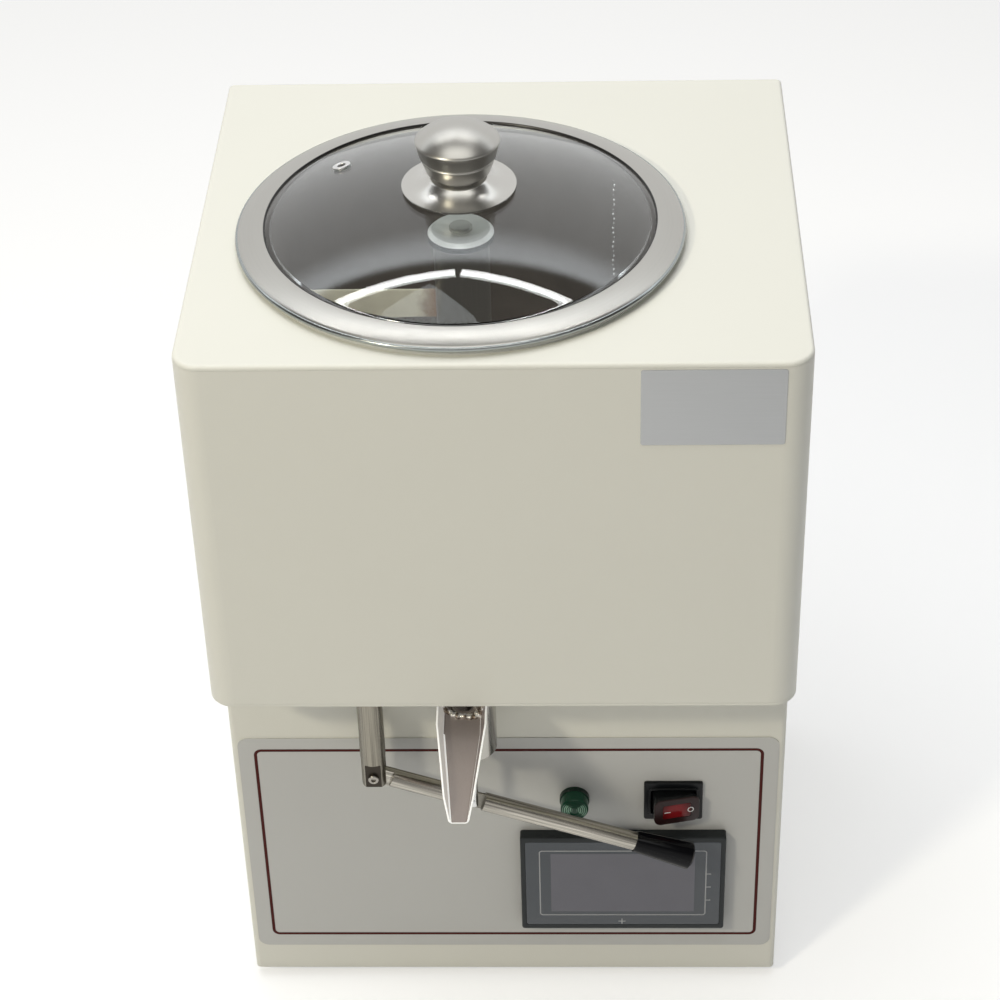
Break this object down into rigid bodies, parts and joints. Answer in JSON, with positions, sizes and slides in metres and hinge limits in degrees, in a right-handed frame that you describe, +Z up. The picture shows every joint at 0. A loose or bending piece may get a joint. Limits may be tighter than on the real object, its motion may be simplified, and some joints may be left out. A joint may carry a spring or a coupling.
{
  "type": "dental impression mixer",
  "caption": "Heated stirring tank in a tall painted cabinet, with a domed glass lid, a lever-operated outlet valve with an open spout, and a touch panel.",
  "frame": {"origin": "centre of the bounding box's footprint, on the plane that the feet stand on", "axes": "+X to the right seen from the front, -Y towards the front with the spout, +Z up"},
  "size_m": [0.355, 0.3886, 0.6225],
  "materials": {
    "cream_paint": "satin",
    "zinc_screws": "satin",
    "rubber_black": "matte",
    "overlay_film": "satin",
    "steel": "satin",
    "knob_steel": "polished",
    "seal_white": "matte",
    "heater_band": "satin",
    "cast_aluminium": "cast",
    "motor_grey": "satin",
    "bronze": "satin",
    "grip_black": "satin",
    "lid_glass": "clear",
    "panel_plastic": "matte",
    "panel_film": "satin",
    "lens_green": "glossy",
    "rocker_red": "glossy",
    "supply_case": "satin",
    "board_green": "satin",
    "guard_chrome": "polished"
  },
  "bodies": {
    "cabinet": {"upper_shell": "cream_paint", "top_plate": "cream_paint", "lower_shell": "cream_paint", "deck_plate": "cream_paint", "base_plate": "cream_paint", "rear_cover": "cream_paint", "cover_screws": "zinc_screws", "motor_screws": "zinc_screws", "feet": "rubber_black", "front_overlay": "overlay_film", "tank": "steel", "spout": "steel", "temperature_probe": "steel", "valve_tube": "steel", "lever_post": "steel", "pivot_screw": "steel", "tank_gasket": "seal_white", "valve_seat": "seal_white", "stem_seal": "seal_white", "overheat_cutout": "seal_white", "band_heater": "heater_band", "gearbox": "cast_aluminium", "gear_motor": "motor_grey", "upper_bush": "bronze", "lower_bush": "bronze", "switch_frame": "grip_black", "fan_frame": "grip_black", "mains_inlet": "grip_black", "fuse_holder": "grip_black", "panel_bezel": "panel_plastic", "panel_case": "panel_plastic", "lamp_body": "panel_plastic", "panel_screen": "panel_film", "lamp_lens": "lens_green", "power_supply": "supply_case", "control_board": "board_green", "fan_guard": "guard_chrome"},
    "lid": {"lid_glass": "lid_glass", "lid_rim": "steel", "lid_knob": "knob_steel", "knob_base": "knob_steel", "knob_washer": "rubber_black", "knob_screw": "steel", "vent_grommet": "steel"},
    "lever": {"lever_bar": "steel", "lever_grip": "grip_black"},
    "valve": {"valve_stem": "steel", "valve_plug": "seal_white", "fork_pin": "steel"},
    "stirrer": {"drive_shaft": "steel", "shaft_coupling": "cast_aluminium", "stirrer_sleeve": "steel", "stirrer_paddles": "steel", "hub_disc": "steel", "hub_bolt": "steel"},
    "rocker": {"switch_rocker": "rocker_red"},
    "fan_wheel": {"fan_rotor": "grip_black"}
  },
  "joints": [
    {"name": "lid_lift", "type": "slide", "parent": "cabinet", "child": "lid", "axis": [0, 0, 1], "range_m": [0, 0.15]},
    {"name": "lever_swing", "type": "hinge", "parent": "cabinet", "child": "lever", "pos_m": [-0.084, -0.09951, 0.2148], "axis": [0, -1, 0], "range_deg": [0, 22]},
    {"name": "valve_lift", "type": "slide", "parent": "cabinet", "child": "valve", "axis": [0, 0, 1], "range_m": [0, 0.025]},
    {"name": "stirrer_spin", "type": "hinge", "parent": "cabinet", "child": "stirrer", "pos_m": [-0.0215, 0.00299, 0.55], "axis": [0, 0, 1], "continuous": true},
    {"name": "switch_rock", "type": "hinge", "parent": "cabinet", "child": "rocker", "pos_m": [0.1065, -0.07611, 0.1695], "axis": [0, 0, -1], "range_deg": [0, 16]},
    {"name": "fan_spin", "type": "hinge", "parent": "cabinet", "child": "fan_wheel", "pos_m": [0, 0.17549, 0.44], "axis": [0, 1, 0], "continuous": true}
  ],
  "couplings": [
    {"joint": "valve_lift", "follows": "lever_swing", "m_per_rad": 0.065004}
  ]
}
